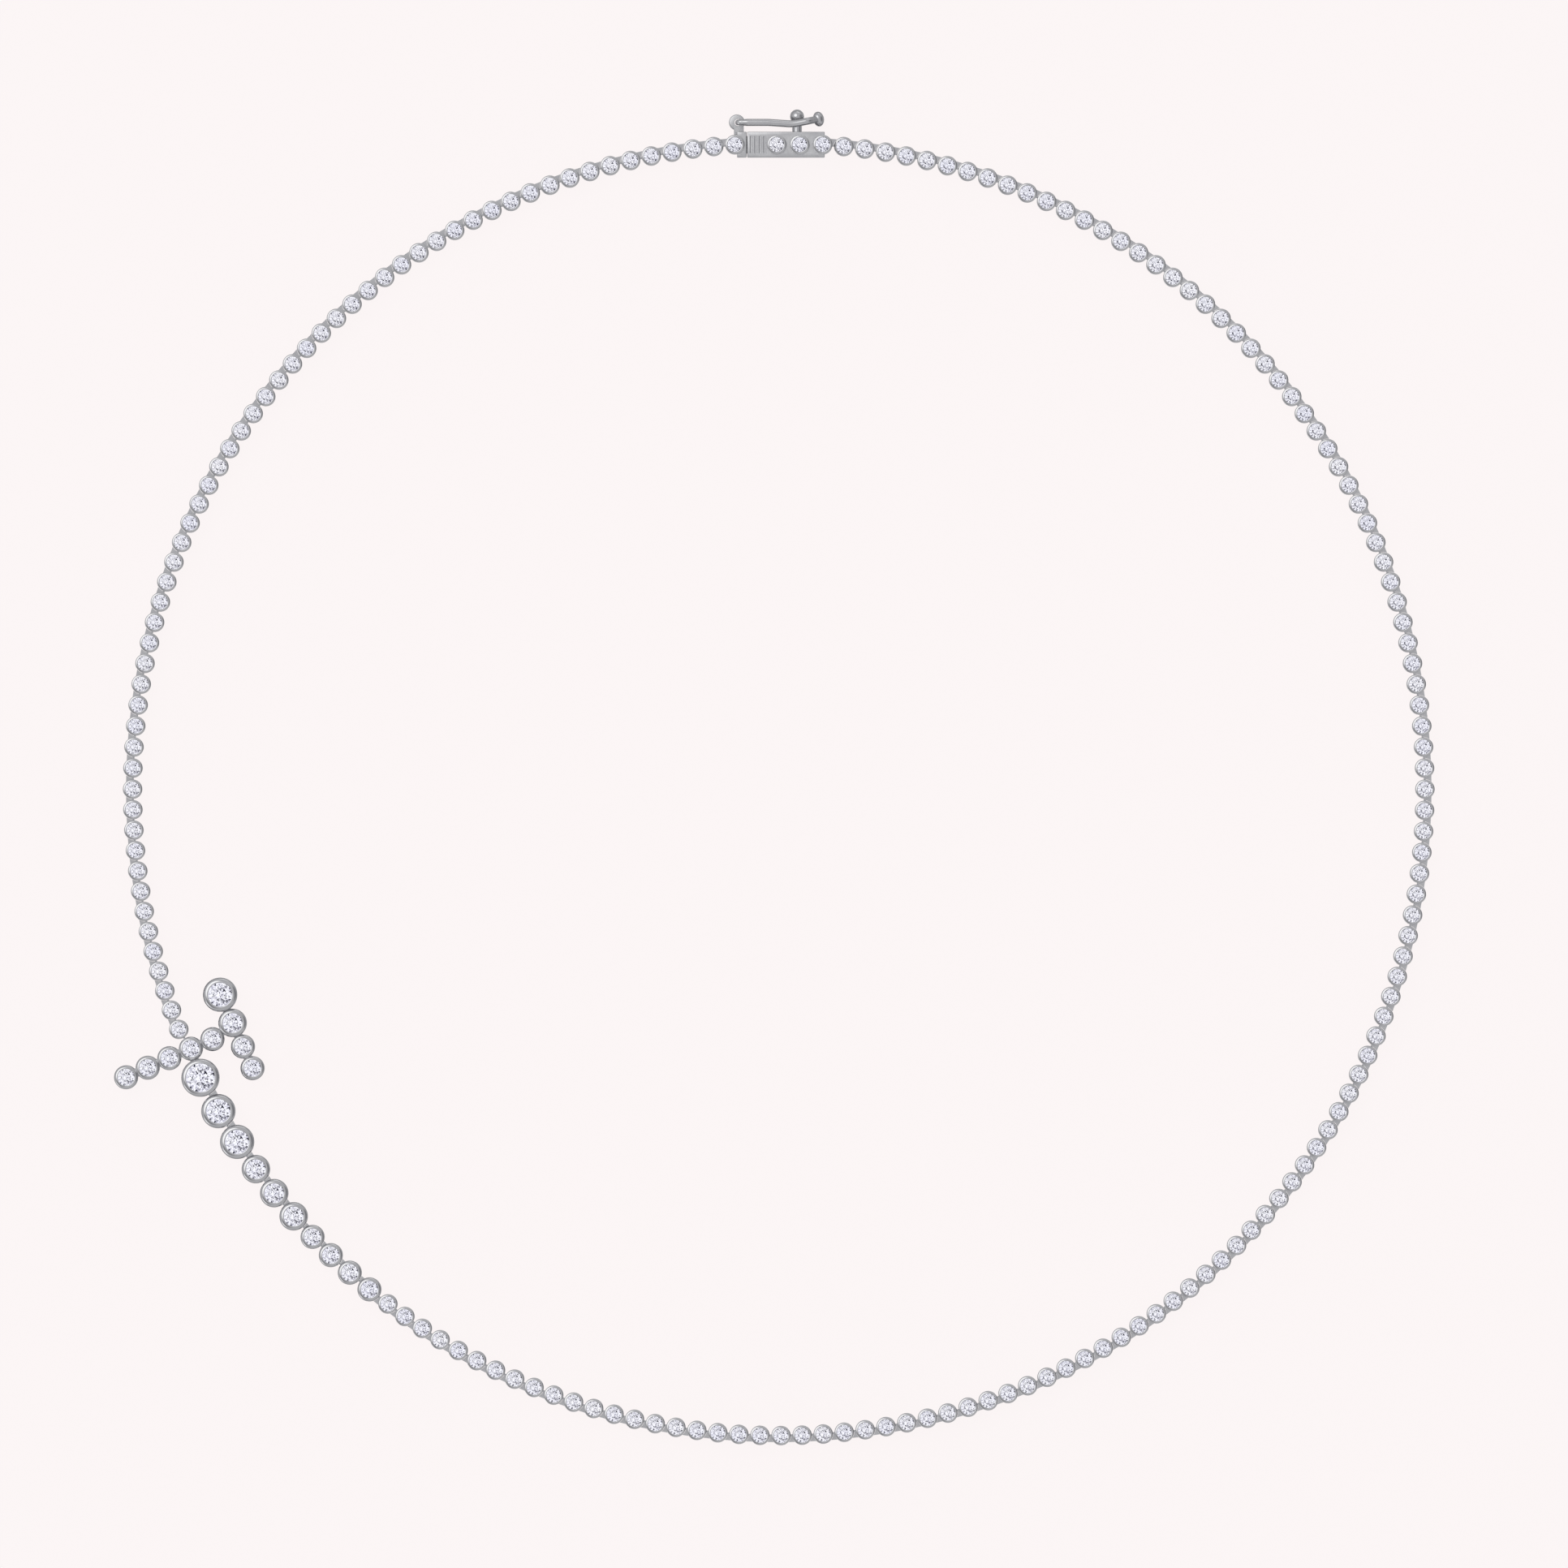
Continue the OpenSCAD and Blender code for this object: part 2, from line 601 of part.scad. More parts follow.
// Cut stone: a table, a crown of 24 facets, a girdle and a pavilion of 16
module stone(b) {
    d = stone_of(b);
    girdle_z = height_of(b) - girdle_depth;
    n = 8;
    m = 2 * n;
    table = ring(n, table_share * d / 2, girdle_z + crown_share * d);
    upper = ring(m, d / 2, girdle_z);
    lower = ring(m, d / 2, girdle_z - girdle_t);
    culet = [[0, 0, girdle_z - girdle_t - pavilion_share * d]];
    upper_at = n;
    lower_at = n + m;
    culet_at = n + 2 * m;
    polyhedron(
        points = concat(table, upper, lower, culet),
        faces = concat(
            [[for (k = [n - 1 : -1 : 0]) k]],
            [for (k = [0 : n - 1]) [k, upper_at + 2 * k + 1, upper_at + 2 * k]],
            [for (k = [0 : n - 1]) [k, upper_at + 2 * k, upper_at + (2 * k + m - 1) % m]],
            [for (k = [0 : n - 1]) [k, (k + 1) % n, upper_at + 2 * k + 1]],
            [for (k = [0 : m - 1])
                [upper_at + k, upper_at + (k + 1) % m, lower_at + (k + 1) % m, lower_at + k]],
            [for (k = [0 : m - 1]) [lower_at + k, lower_at + (k + 1) % m, culet_at]]
        )
    );
}

module motif_stone(k) color("aliceblue")
    in_motif() translate([MOTIF[k - 1][0], MOTIF[k - 1][1], 0]) stone(MOTIF[k - 1][2]);

module graduated_stone(k) color("aliceblue")
    at_point(POINTS[lead_at + 1 - k]) stone(bezel_at(lead_at + 1 - k));

module clasp_stone(k) color("aliceblue") in_clasp() {
    seat = concat([TONGUE_COLLAR], COLLARS)[k - 1];
    translate([seat[0], seat[1], 0]) stone(COLLAR);
}

chain_right();
chain_left();
for (k = [1 : graduated_count]) graduated_link(k);
motif_frame();
clasp_box();
clasp_tongue();
safety_catch();
for (k = [1 : motif_count]) motif_stone(k);
for (k = [1 : graduated_count + 1])
    graduated_stone(k);
for (k = [1 : 4]) clasp_stone(k);
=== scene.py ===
"""Looks of the riviere necklace: bezels, brilliants, clasp, light and camera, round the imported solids."""

import math

import bmesh
import bpy
import numpy as np
from mathutils import Matrix, Vector


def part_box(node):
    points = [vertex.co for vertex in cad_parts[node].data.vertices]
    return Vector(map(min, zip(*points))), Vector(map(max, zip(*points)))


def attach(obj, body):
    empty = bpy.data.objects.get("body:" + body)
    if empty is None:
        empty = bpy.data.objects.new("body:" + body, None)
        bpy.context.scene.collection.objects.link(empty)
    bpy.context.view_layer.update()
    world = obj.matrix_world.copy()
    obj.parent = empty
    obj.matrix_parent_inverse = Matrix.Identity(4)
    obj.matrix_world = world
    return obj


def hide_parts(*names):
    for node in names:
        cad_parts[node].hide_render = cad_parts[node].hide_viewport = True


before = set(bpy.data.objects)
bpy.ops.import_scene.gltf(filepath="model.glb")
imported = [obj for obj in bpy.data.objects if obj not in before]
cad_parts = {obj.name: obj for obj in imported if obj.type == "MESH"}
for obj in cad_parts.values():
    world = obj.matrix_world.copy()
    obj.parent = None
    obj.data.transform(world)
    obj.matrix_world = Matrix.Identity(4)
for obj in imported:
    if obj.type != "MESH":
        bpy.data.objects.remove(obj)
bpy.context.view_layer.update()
MM = 0.001

# Bezels, in millimetres: outer diameter, height and cover of the stone's edge by stone diameter
BEZELS = {
    1.5: (1.94, 1.8, 0.02),
    1.78: (2.4, 1.95, 0.045),
    2.06: (2.84, 2.1, 0.05),
    2.5: (3.42, 2.3, 0.04),
    3.04: (3.8, 2.55, 0.08),
}
SMALL_STONE = 1.5
COLLAR_HEIGHT = 3.0
STONE_CLEAR = 0.04
LIP_DEPTH = 0.225
GIRDLE_DEPTH = 0.33
GIRDLE_T = 0.03
FOOT = 0.05

# Rim of a bezel: from the mouth to the crest, the corner at the wall, and the steepest tilt between
CREST_IN = 0.035
RIM_EDGE = 0.02
SMALL_TILT = 38.0
LARGE_TILT = 62.0

# Couplings between the links
NECK_W = 0.2
NECK_Z = 0.3
NECK_H = 0.3
KNOB_R = 0.27
KNOB_H = 0.44
LINK_CLEAR = 0.105
BITE = 0.05
SMALL_SHOULDER = 0.72
GRADUATED_SHOULDER = 0.46
SHOULDER_DROP = 0.5
SHOULDER_HOLLOW = 0.04
WEB_CLEAR = 0.03
SOLDER_W = 0.9

# Overshoot that lets a cut run past a face, and the sides of the rounds by size
PAST = 0.2
FINE = 64
ROUND = 48
COARSE = 40
LARGE_RIM_SIDES = 56
LINK_SIDES = 36

# Cut of the stones: table and crown as shares of the diameter, the star facets' share of the crown
TABLE = 0.57
CROWN = 0.15
STAR = 0.5
# Depth left for a pavilion in the clasp's pockets, as a share of the stone's diameter
POCKET_DEPTH = 0.43
# Pavilion from the girdle down: inner radius of a tier as a share of the stone's, its slope in degrees
PAVILION = [(0.64, 42.5), (0.3, 41.0), (0.0, 39.5)]

# Clasp box, end block and tongue
BOX_L = 7.75
BOX_W = 2.56
BOX_H = 2.7
BOX_PAST_COLLAR = 0.2
BOX_ROUND = 0.07
GROOVES = 4
GROOVE_PITCH = 0.45
GROOVE_START = 0.4
GROOVE_R = 0.16
GROOVE_W = 0.27
GROOVE_L = 1.7
END_DROP = 0.2
WALL_SINK = 0.1
SEAM = 0.06
BLOCK_L = 0.95
TONGUE_L = 5.0
TONGUE_T = 0.5
TONGUE_Z = 0.75
TONGUE_W = 1.76
SLOT_CLEAR = 0.1

# Ball, eye and safety catch
BALL_D = 1.4
BALL_REACH = 1.54
POST_D = 0.96
POST_FROM_END = 2.76
WIRE_D = 0.69
CATCH_CLEAR = 0.05
PIN_D = 0.52
PIN_HOLE_D = 0.7
EYE_D = 1.58
EYE_T = 1.0
EYE_EDGE = 0.12
EYE_STEM_W = 0.98
EYE_REACH = 0.95
EYE_SHIFT = 0.2
STEM_SHIFT = 0.2
PIN_SHIFT = 0.12
ELBOW_R = 0.35
BEAD_D = 1.1
BEAD_L = 1.5

# Camera: the photograph's frame is a square this wide, straight above this point
FRAME_W = 156.76
VIEW_X = 0.963
VIEW_Y = -0.657
VIEW_Z = 1.9
LENS = 1200.0
SENSOR = 36.0

# Tone of the floor and the backdrop, and of the floor's light on the metal and in the stones
PALE = (0.946, 0.895, 0.895)
FLOOR_TO_METAL = (0.45, 0.45, 0.46)
FLOOR_TO_STONES = (0.7, 0.69, 0.76)


# Meshes, in millimetres until they are placed

def mesh_from(verts, faces):
    mesh = bpy.data.meshes.new("shape")
    mesh.from_pydata([tuple(v) for v in verts], [], faces)
    mesh.update()
    return mesh


def moved(mesh, x=0.0, y=0.0, z=0.0, turn=0.0):
    """The mesh turned about Z by an angle in degrees and then shifted."""
    mesh.transform(Matrix.Translation((x, y, z)) @ Matrix.Rotation(math.radians(turn), 4, "Z"))
    return mesh


def revolved(outline, sides):
    """Ring with a closed section: the outline's points are (radius, height), anticlockwise."""
    n = len(outline)
    angles = [2 * math.pi * k / sides for k in range(sides)]
    verts = [(r * math.cos(a), r * math.sin(a), z) for a in angles for r, z in outline]
    faces = []
    for k in range(sides):
        here, there = k * n, (k + 1) % sides * n
        for i in range(n):
            j = (i + 1) % n
            faces.append((here + i, there + i, there + j, here + j))
    return mesh_from(verts, faces)


def turned(outline, sides):
    """Solid turned about Z: the outline runs from the axis at the bottom to the axis at the top."""
    inner = outline[1:-1]
    n = len(inner)
    verts = [(0, 0, outline[0][1])]
    for k in range(sides):
        a = 2 * math.pi * k / sides
        verts += [(r * math.cos(a), r * math.sin(a), z) for r, z in inner]
    verts.append((0, 0, outline[-1][1]))
    last = len(verts) - 1
    faces = []
    for k in range(sides):
        here, there = 1 + k * n, 1 + (k + 1) % sides * n
        faces.append((0, there, here))
        faces += [(here + i, there + i, there + i + 1, here + i + 1) for i in range(n - 1)]
        faces.append((last, here + n - 1, there + n - 1))
    return mesh_from(verts, faces)


def rod(r, z0, z1, sides=40, edge=0.0):
    """Upright cylinder, with bevelled ends where edge isn't 0."""
    if not edge:
        return turned([(0, z0), (r, z0), (r, z1), (0, z1)], sides)
    low = [(r - edge * (1 - math.sin(t)), z0 + edge * (1 - math.cos(t))) for t in quarter(3)]
    high = [(r - edge * (1 - math.cos(t)), z1 - edge * (1 - math.sin(t))) for t in quarter(3)]
    return turned([(0, z0)] + low + high + [(0, z1)], sides)


def oval(across, along):
    """Half outline of an egg-round body, from its lowest point to its highest."""
    steps = 24
    turns = [math.pi * k / steps for k in range(steps + 1)]
    return [(across / 2 * math.sin(t), -along / 2 * math.cos(t)) for t in turns]


def quarter(steps):
    return [math.pi / 2 * k / steps for k in range(steps + 1)]


def extruded(outline, z0, z1):
    """Prism of an anticlockwise outline."""
    n = len(outline)
    verts = [(x, y, z0) for x, y in outline] + [(x, y, z1) for x, y in outline]
    faces = [tuple(range(n - 1, -1, -1)), tuple(range(n, 2 * n))]
    faces += [(i, (i + 1) % n, n + (i + 1) % n, n + i) for i in range(n)]
    return mesh_from(verts, faces)


def block(x0, x1, y0, y1, z0, z1, edge=0.0):
    """Box, with rounded edges where edge isn't 0."""
    mesh = extruded([(x0, y0), (x1, y0), (x1, y1), (x0, y1)], z0, z1)
    if edge:
        bm = bmesh.new()
        bm.from_mesh(mesh)
        bmesh.ops.bevel(bm, geom=bm.edges[:], offset=edge, segments=3, profile=0.5, affect="EDGES")
        bm.to_mesh(mesh)
        bm.free()
    return mesh


def combined(base, tool, operation):
    """Base with the tool added or cut away. Both meshes are used up."""
    a = bpy.data.objects.new("base", base)
    b = bpy.data.objects.new("tool", tool)
    for o in (a, b):
        bpy.context.scene.collection.objects.link(o)
    cut = a.modifiers.new("cut", "BOOLEAN")
    cut.operation = operation
    cut.solver = "MANIFOLD"
    cut.object = b
    graph = bpy.context.evaluated_depsgraph_get()
    made = bpy.data.meshes.new_from_object(a.evaluated_get(graph))
    for o, mesh in ((a, base), (b, tool)):
        bpy.data.objects.remove(o)
        bpy.data.meshes.remove(mesh)
    return made


def union(first, *others):
    for other in others:
        first = combined(first, other, "UNION")
    return first


def cut(base, *tools):
    for tool in tools:
        base = combined(base, tool, "DIFFERENCE")
    return base


def joined(meshes):
    """One mesh with all of these in it, side by side."""
    bm = bmesh.new()
    for mesh in meshes:
        bm.from_mesh(mesh)
    made = bpy.data.meshes.new("joined")
    bm.to_mesh(made)
    bm.free()
    return made


# Bezels and links

def nearest_bezel(stone_d):
    return BEZELS[min(BEZELS, key=lambda d: abs(d - stone_d))]


def bezel_of(stone_d):
    """Outer radius, stone radius and height of the bezel for a stone."""
    od, height, _ = nearest_bezel(stone_d)
    return od / 2, stone_d / 2, height


def bezel_wall(r, stone_r, height, sides, foot_z=0.0, rolls=7):
    """A bezel's wall: straight bore, seat, mouth over the stone, rounded rim and foot."""
    bore = stone_r - STONE_CLEAR
    seat = stone_r + STONE_CLEAR
    mouth = stone_r - nearest_bezel(2 * stone_r)[2]
    girdle = height - GIRDLE_DEPTH
    crest = mouth + CREST_IN
    steepest = math.radians(SMALL_TILT if stone_r < 0.55 * SMALL_STONE else LARGE_TILT)
    roll = (r - RIM_EDGE - crest) / math.sin(steepest)
    rim = [
        (crest + roll * math.sin(t), height - roll * (1 - math.cos(t)))
        for t in [steepest * k / rolls for k in range(rolls, -1, -1)]
    ]
    wall_top = rim[0][1] - RIM_EDGE
    outline = [(r - FOOT, foot_z), (r, foot_z + FOOT), (r, wall_top)]
    outline += [(r - RIM_EDGE / 4, wall_top + RIM_EDGE / 2)]
    outline += rim
    outline += [(mouth + CREST_IN / 3, height - CREST_IN / 3), (mouth, height - CREST_IN)]
    outline += [(mouth, height - LIP_DEPTH), (seat, girdle + STONE_CLEAR), (seat, girdle - STONE_CLEAR)]
    outline += [(bore, girdle - 3 * STONE_CLEAR), (bore, foot_z + FOOT), (bore + FOOT, foot_z)]
    return revolved(outline, sides)


def window(r):
    """Tool for the opening in a bezel's wall, on its -X side."""
    half = NECK_W / 2 + LINK_CLEAR
    return block(-r - PAST, -r / 2, -half, half, NECK_Z - LINK_CLEAR, NECK_Z + NECK_H + LINK_CLEAR)


def coupler(r, next_stone_r, step):
    """Neck and knob that reach along +X into the next bezel."""
    knob_x = step - next_stone_r + STONE_CLEAR + LINK_CLEAR + KNOB_R
    middle = NECK_Z + NECK_H / 2
    neck = block(r - BITE, knob_x, -NECK_W / 2, NECK_W / 2, NECK_Z, NECK_Z + NECK_H)
    knob = moved(rod(KNOB_R, middle - KNOB_H / 2, middle + KNOB_H / 2, 24, edge=0.06), x=knob_x)
    return union(neck, knob)


def shoulder(r, bore, next_r, step, side, top):
    """Web between two bezels on one side, hollow along its outer edge and clear of the next bezel."""
    reach = (SMALL_SHOULDER if side > 0 else GRADUATED_SHOULDER) * min(r, next_r)
    steps = 8
    edge = [
        (step * k / steps, reach - SHOULDER_HOLLOW * math.sin(math.pi * k / steps))
        for k in range(steps, -1, -1)
    ]
    web = extruded([(0, 0), (step, 0)] + edge, NECK_Z, top)
    if side < 0:
        web.transform(Matrix.Scale(-1, 4, (0, 1, 0)))
        web.flip_normals()
    clearing = moved(rod(next_r + WEB_CLEAR, NECK_Z - PAST, top + PAST, FINE), x=step)
    return cut(web, rod((r + bore) / 2, NECK_Z - PAST, top + PAST, FINE), clearing)


def make_link(stone_d, next_d, step, bend, side, sides, next_height=None):
    """One link at the origin that runs on along +X; bend is the angle of the way in, in degrees."""
    r, stone_r, height = bezel_of(stone_d)
    next_r, next_stone_r, next_h = bezel_of(next_d)
    top = min(height, next_height or next_h) - SHOULDER_DROP
    link = bezel_wall(r, stone_r, height, sides)
    link = union(link, shoulder(r, stone_r - STONE_CLEAR, next_r, step, side, top))
    link = cut(link, moved(window(r), turn=bend))
    return union(link, coupler(r, next_stone_r, step))


# Where the frame has the settings, in millimetres

def seat_of(node):
    """Middle and diameter of a stone's node."""
    low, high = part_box(node)
    return (low.x + high.x) / 2 / MM, (low.y + high.y) / 2 / MM, (high.x - low.x) / MM


def link_seats(node):
    """Middles of the bezels in a chain's node, from the flat tops of its lips, clockwise from the clasp."""
    bm = bmesh.new()
    bm.from_mesh(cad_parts[node].data)
    bmesh.ops.remove_doubles(bm, verts=bm.verts[:], dist=1e-7)
    seats = []
    left = set(bm.verts)
    while left:
        group = [left.pop()]
        for v in group:
            for e in v.link_edges:
                other = e.other_vert(v)
                if other in left:
                    left.remove(other)
                    group.append(other)
        top = max(v.co.z for v in group)
        lip = [v.co for v in group if v.co.z > top - 1e-6]
        seats.append((sum(c.x for c in lip) / len(lip) / MM, sum(c.y for c in lip) / len(lip) / MM))
    bm.free()
    return sorted(seats, key=lambda p: (math.atan2(p[0], p[1]) % (2 * math.pi)))


tongue_seat = seat_of("clasp_stone_1")
end_seat = seat_of("clasp_stone_2")
right = [(x, y, SMALL_STONE) for x, y in link_seats("chain_right")]
left = [(x, y, SMALL_STONE) for x, y in link_seats("chain_left")]
graduated = [seat_of(f"graduated_stone_{k}") for k in range(10, 1, -1)]
lead = seat_of("graduated_stone_1")
motif = [seat_of(f"motif_stone_{k}") for k in range(1, 10)]
bar = motif[3]
run = [end_seat] + right + graduated + [lead, bar] + left + [tongue_seat]


def heading(a, b):
    return math.degrees(math.atan2(b[1] - a[1], b[0] - a[0]))


def distance(a, b):
    return math.hypot(b[0] - a[0], b[1] - a[1])


link_cache = {}


def placed_link(i, side, sides):
    """The link at one place of the run, from a copy made once for all links alike."""
    before, here, after = run[i - 1 : i + 2]
    out = heading(here, after)
    bend = heading(before, here) - out
    step = distance(here, after)
    key = (here[2], after[2], round(step, 2), round(bend, 1), side, sides)
    if key not in link_cache:
        tall = COLLAR_HEIGHT if i == len(run) - 2 else None
        link_cache[key] = make_link(here[2], after[2], step, bend, side, sides, tall)
    return moved(link_cache[key].copy(), here[0], here[1], turn=out)


# Stones

def brilliant(d):
    """Round brilliant with its girdle's upper edge at z = 0: 33 crown facets and a pavilion of 80."""
    r = d / 2
    table_r = TABLE * r
    top = CROWN * d
    half = math.cos(math.pi / 8)

    def ring(count, radius, z, start=0.0):
        turns = [2 * math.pi * (k + start) / count for k in range(count)]
        return [(radius * math.cos(a), radius * math.sin(a), z) for a in turns]

    star_r = table_r * half + STAR * (r - table_r * half)
    star_z = top * (r - star_r * half) / (r - table_r)
    rings = [ring(8, table_r, top), ring(8, star_r, star_z, 0.5), ring(16, r, 0.0), ring(16, r, -GIRDLE_T)]
    radius, z = r, -GIRDLE_T
    for k, (share, slope) in enumerate(PAVILION):
        z -= (radius - share * r) * math.tan(math.radians(slope))
        radius = share * r
        rings.append(ring(16, radius, z, 0.5 * (k % 2 == 0)) if share else [(0, 0, z)])
    table, star, upper, lower, outer, inner, culet = np.cumsum([0] + [len(p) for p in rings])[:-1].tolist()
    faces = [tuple(range(table, table + 8))]
    for k in range(8):
        nxt = (k + 1) % 8
        prev = (k - 1) % 8
        faces.append((table + k, star + k, table + nxt))
        faces.append((table + k, star + prev, upper + 2 * k, star + k))
        faces.append((star + k, upper + 2 * k, upper + 2 * k + 1))
        faces.append((star + k, upper + 2 * k + 1, upper + 2 * nxt))
    for k in range(16):
        nxt = (k + 1) % 16
        prev = (k - 1) % 16
        faces.append((upper + k, lower + k, lower + nxt, upper + nxt))
        faces.append((lower + k, outer + k, lower + nxt))
        faces.append((lower + k, outer + prev, outer + k))
        faces.append((outer + k, inner + k, inner + nxt))
        faces.append((outer + prev, inner + k, outer + k))
        faces.append((inner + k, culet, inner + nxt))
    return mesh_from([v for ring_points in rings for v in ring_points], faces)


def set_stone(seat, height):
    return moved(brilliant(seat[2]), seat[0], seat[1], height - GIRDLE_DEPTH)


# Clasp

def rounded_tube(path, sides=24):
    """Tube along points with their own radii; both ends are closed."""
    verts, faces = [], []
    n = len(path)
    for i, (p, r) in enumerate(path):
        ahead = path[min(i + 1, n - 1)][0] - path[max(i - 1, 0)][0]
        across = Vector((0, 1, 0)) if abs(ahead.normalized().y) < 0.7 else Vector((1, 0, 0))
        up = ahead.cross(across).normalized()
        across = up.cross(ahead).normalized()
        for k in range(sides):
            a = 2 * math.pi * k / sides
            verts.append(p + r * (math.cos(a) * across + math.sin(a) * up))
    for i in range(n - 1):
        for k in range(sides):
            j = (k + 1) % sides
            faces.append((i * sides + k, i * sides + j, (i + 1) * sides + j, (i + 1) * sides + k))
    faces.append(tuple(range(sides - 1, -1, -1)))
    faces.append(tuple(range((n - 1) * sides, n * sides)))
    mesh = mesh_from(verts, faces)
    bm = bmesh.new()
    bm.from_mesh(mesh)
    bmesh.ops.recalc_face_normals(bm, faces=bm.faces[:])
    bm.to_mesh(mesh)
    bm.free()
    return mesh


# Moves of the catch's wire from the pin's top: length or bend radius, turn in plan, tilt, radius at the end
ARC, LINE = "arc", "line"
CATCH_MOVES = [
    (ARC, ELBOW_R, 0, -90, PIN_D / 2 + 0.03),
    (LINE, 0.6, 0, 0, WIRE_D / 2),
    (LINE, 2.0, 0, 0, WIRE_D / 2),
    (ARC, 3.0, -4, 0, WIRE_D / 2),
    (LINE, 1.9, 0, 0, WIRE_D / 2),
    (ARC, 3.0, 15, 0, WIRE_D / 2),
    (LINE, 0.95, 0, 0, WIRE_D / 2),
    (ARC, 0.5, 0, -45, WIRE_D / 2),
]
CATCH_DZ = BALL_D / 2 + CATCH_CLEAR + WIRE_D / 2
CATCH_Z = CATCH_DZ + WIRE_D / 2


def wire_path():
    """Points and radii along the upper strand, from the pin's top to the bead."""
    at = Vector((0, 0, CATCH_DZ - ELBOW_R))
    plan, pitch, radius = 0.0, 90.0, PIN_D / 2 + 0.03
    path = [(at.copy(), radius)]
    for kind, size, turn, tilt, end_radius in CATCH_MOVES:
        steps = max(2, round(max(abs(turn), abs(tilt)) / 9)) if kind == ARC else 4
        start_radius = radius
        angle = math.radians(max(abs(turn), abs(tilt)))
        length = size / steps if kind == LINE else 2 * size * math.sin(angle / steps / 2)
        for k in range(1, steps + 1):
            h = math.radians(plan + turn / steps / 2)
            p = math.radians(pitch + tilt / steps / 2)
            at = at + length * Vector((math.cos(p) * math.cos(h), math.cos(p) * math.sin(h), math.sin(p)))
            plan += turn / steps
            pitch += tilt / steps
            share = k / steps
            radius = start_radius + (end_radius - start_radius) * share * share * (3 - 2 * share)
            path.append((at.copy(), radius))
    drop = at.z / math.sin(math.radians(45))
    h, p = math.radians(plan), math.radians(pitch)
    end = at + drop * Vector((math.cos(p) * math.cos(h), math.cos(p) * math.sin(h), math.sin(p)))
    path.append((end, radius))
    return eased(eased(path)), plan


def eased(path):
    """The path with each corner cut once, ends kept."""
    made = [path[0]]
    for (p, r), (q, s) in zip(path, path[1:]):
        made += [(p.lerp(q, 0.25), 0.75 * r + 0.25 * s), (p.lerp(q, 0.75), 0.25 * r + 0.75 * s)]
    return made + [path[-1]]


def bead_shape(plan):
    """Egg-round bead, long across the wire."""
    bead = turned(oval(BEAD_D, BEAD_L), COARSE)
    bead.transform(Matrix.Rotation(math.radians(plan), 4, "Z") @ Matrix.Rotation(math.radians(-90), 4, "X"))
    return bead


def catch_mesh():
    path, plan = wire_path()
    flipped = [(Vector((p.x, p.y, -p.z)), r) for p, r in path]
    pin_h = CATCH_DZ - ELBOW_R + BITE
    bead = bead_shape(plan)
    bead = moved(bead, path[-1][0].x, path[-1][0].y)
    return union(rod(PIN_D / 2, -pin_h, pin_h, 32), rounded_tube(path), rounded_tube(flipped), bead)


def collar_on(body, seat, foot_z, through):
    """A collar added to a clasp body, with its hole cut down to foot_z or right through."""
    r, stone_r, _ = bezel_of(seat[2])
    middle = (r + stone_r - STONE_CLEAR) / 2
    low = -PAST if through else foot_z
    body = cut(body, moved(rod(middle, low, COLLAR_HEIGHT + PAST, ROUND), seat[0], seat[1]))
    wall = bezel_wall(r, stone_r, COLLAR_HEIGHT, ROUND, foot_z=0.0 if through else foot_z - WALL_SINK)
    return union(body, moved(wall, seat[0], seat[1]))


def groove_tool():
    """Shallow hollow along Y with square ends, open at z = 0."""
    widest = math.asin(GROOVE_W / 2 / GROOVE_R)
    sink = GROOVE_R * math.cos(widest)
    steps = 10
    turns = [-widest + 2 * widest * k / steps for k in range(steps + 1)]
    arc = [(GROOVE_R * math.sin(t), GROOVE_R * math.cos(t) - sink) for t in turns]
    mouth = [(-GROOVE_W / 2, -PAST), (GROOVE_W / 2, -PAST)]
    tool = extruded(mouth + arc[::-1], -GROOVE_L / 2, GROOVE_L / 2)
    tool.transform(Matrix.Rotation(math.radians(-90), 4, "X"))
    return tool


def clasp_box_mesh(seats, first_link):
    end = seats[0]
    r, stone_r, _ = bezel_of(end[2])
    x1 = end[0] + BOX_PAST_COLLAR
    x0 = x1 - BOX_L
    y = end[1]
    side_y = y + BOX_W / 2
    body = block(x0, x1, y - BOX_W / 2, side_y, 0, BOX_H, BOX_ROUND)
    body = union(body, moved(rod(r, 0, BOX_H - END_DROP, ROUND, edge=FOOT), end[0], end[1]))
    slot_w = TONGUE_W / 2 + SLOT_CLEAR
    body = cut(body, block(x0 - PAST, x0 + TONGUE_L + SLOT_CLEAR, y - slot_w, y + slot_w,
                           TONGUE_Z - SLOT_CLEAR, TONGUE_Z + TONGUE_T + SLOT_CLEAR))
    for k in range(GROOVES):
        body = cut(body, moved(groove_tool(), x0 + GROOVE_START + k * GROOVE_PITCH, y, BOX_H))
    pocket = COLLAR_HEIGHT - GIRDLE_DEPTH - GIRDLE_T - POCKET_DEPTH * end[2] - 2 * STONE_CLEAR
    for seat in seats:
        body = collar_on(body, seat, pocket, through=False)
    ball_x = x1 - POST_FROM_END
    post = rod(POST_D / 2, -BITE, BALL_REACH, COARSE)
    post.transform(Matrix.Rotation(math.radians(-90), 4, "X"))
    body = union(body, moved(post, ball_x, side_y, CATCH_Z))
    ball = turned(oval(BALL_D, BALL_D), ROUND)
    body = union(body, moved(ball, ball_x, side_y + BALL_REACH, CATCH_Z))
    out, step = heading(end, first_link), distance(end, first_link)
    small_h = bezel_of(SMALL_STONE)[2]
    web = shoulder(r, stone_r, r, step, 1, small_h - SHOULDER_DROP)
    return union(body, moved(web, end[0], end[1], turn=out),
                 moved(coupler(r, stone_r, step), end[0], end[1], turn=out))


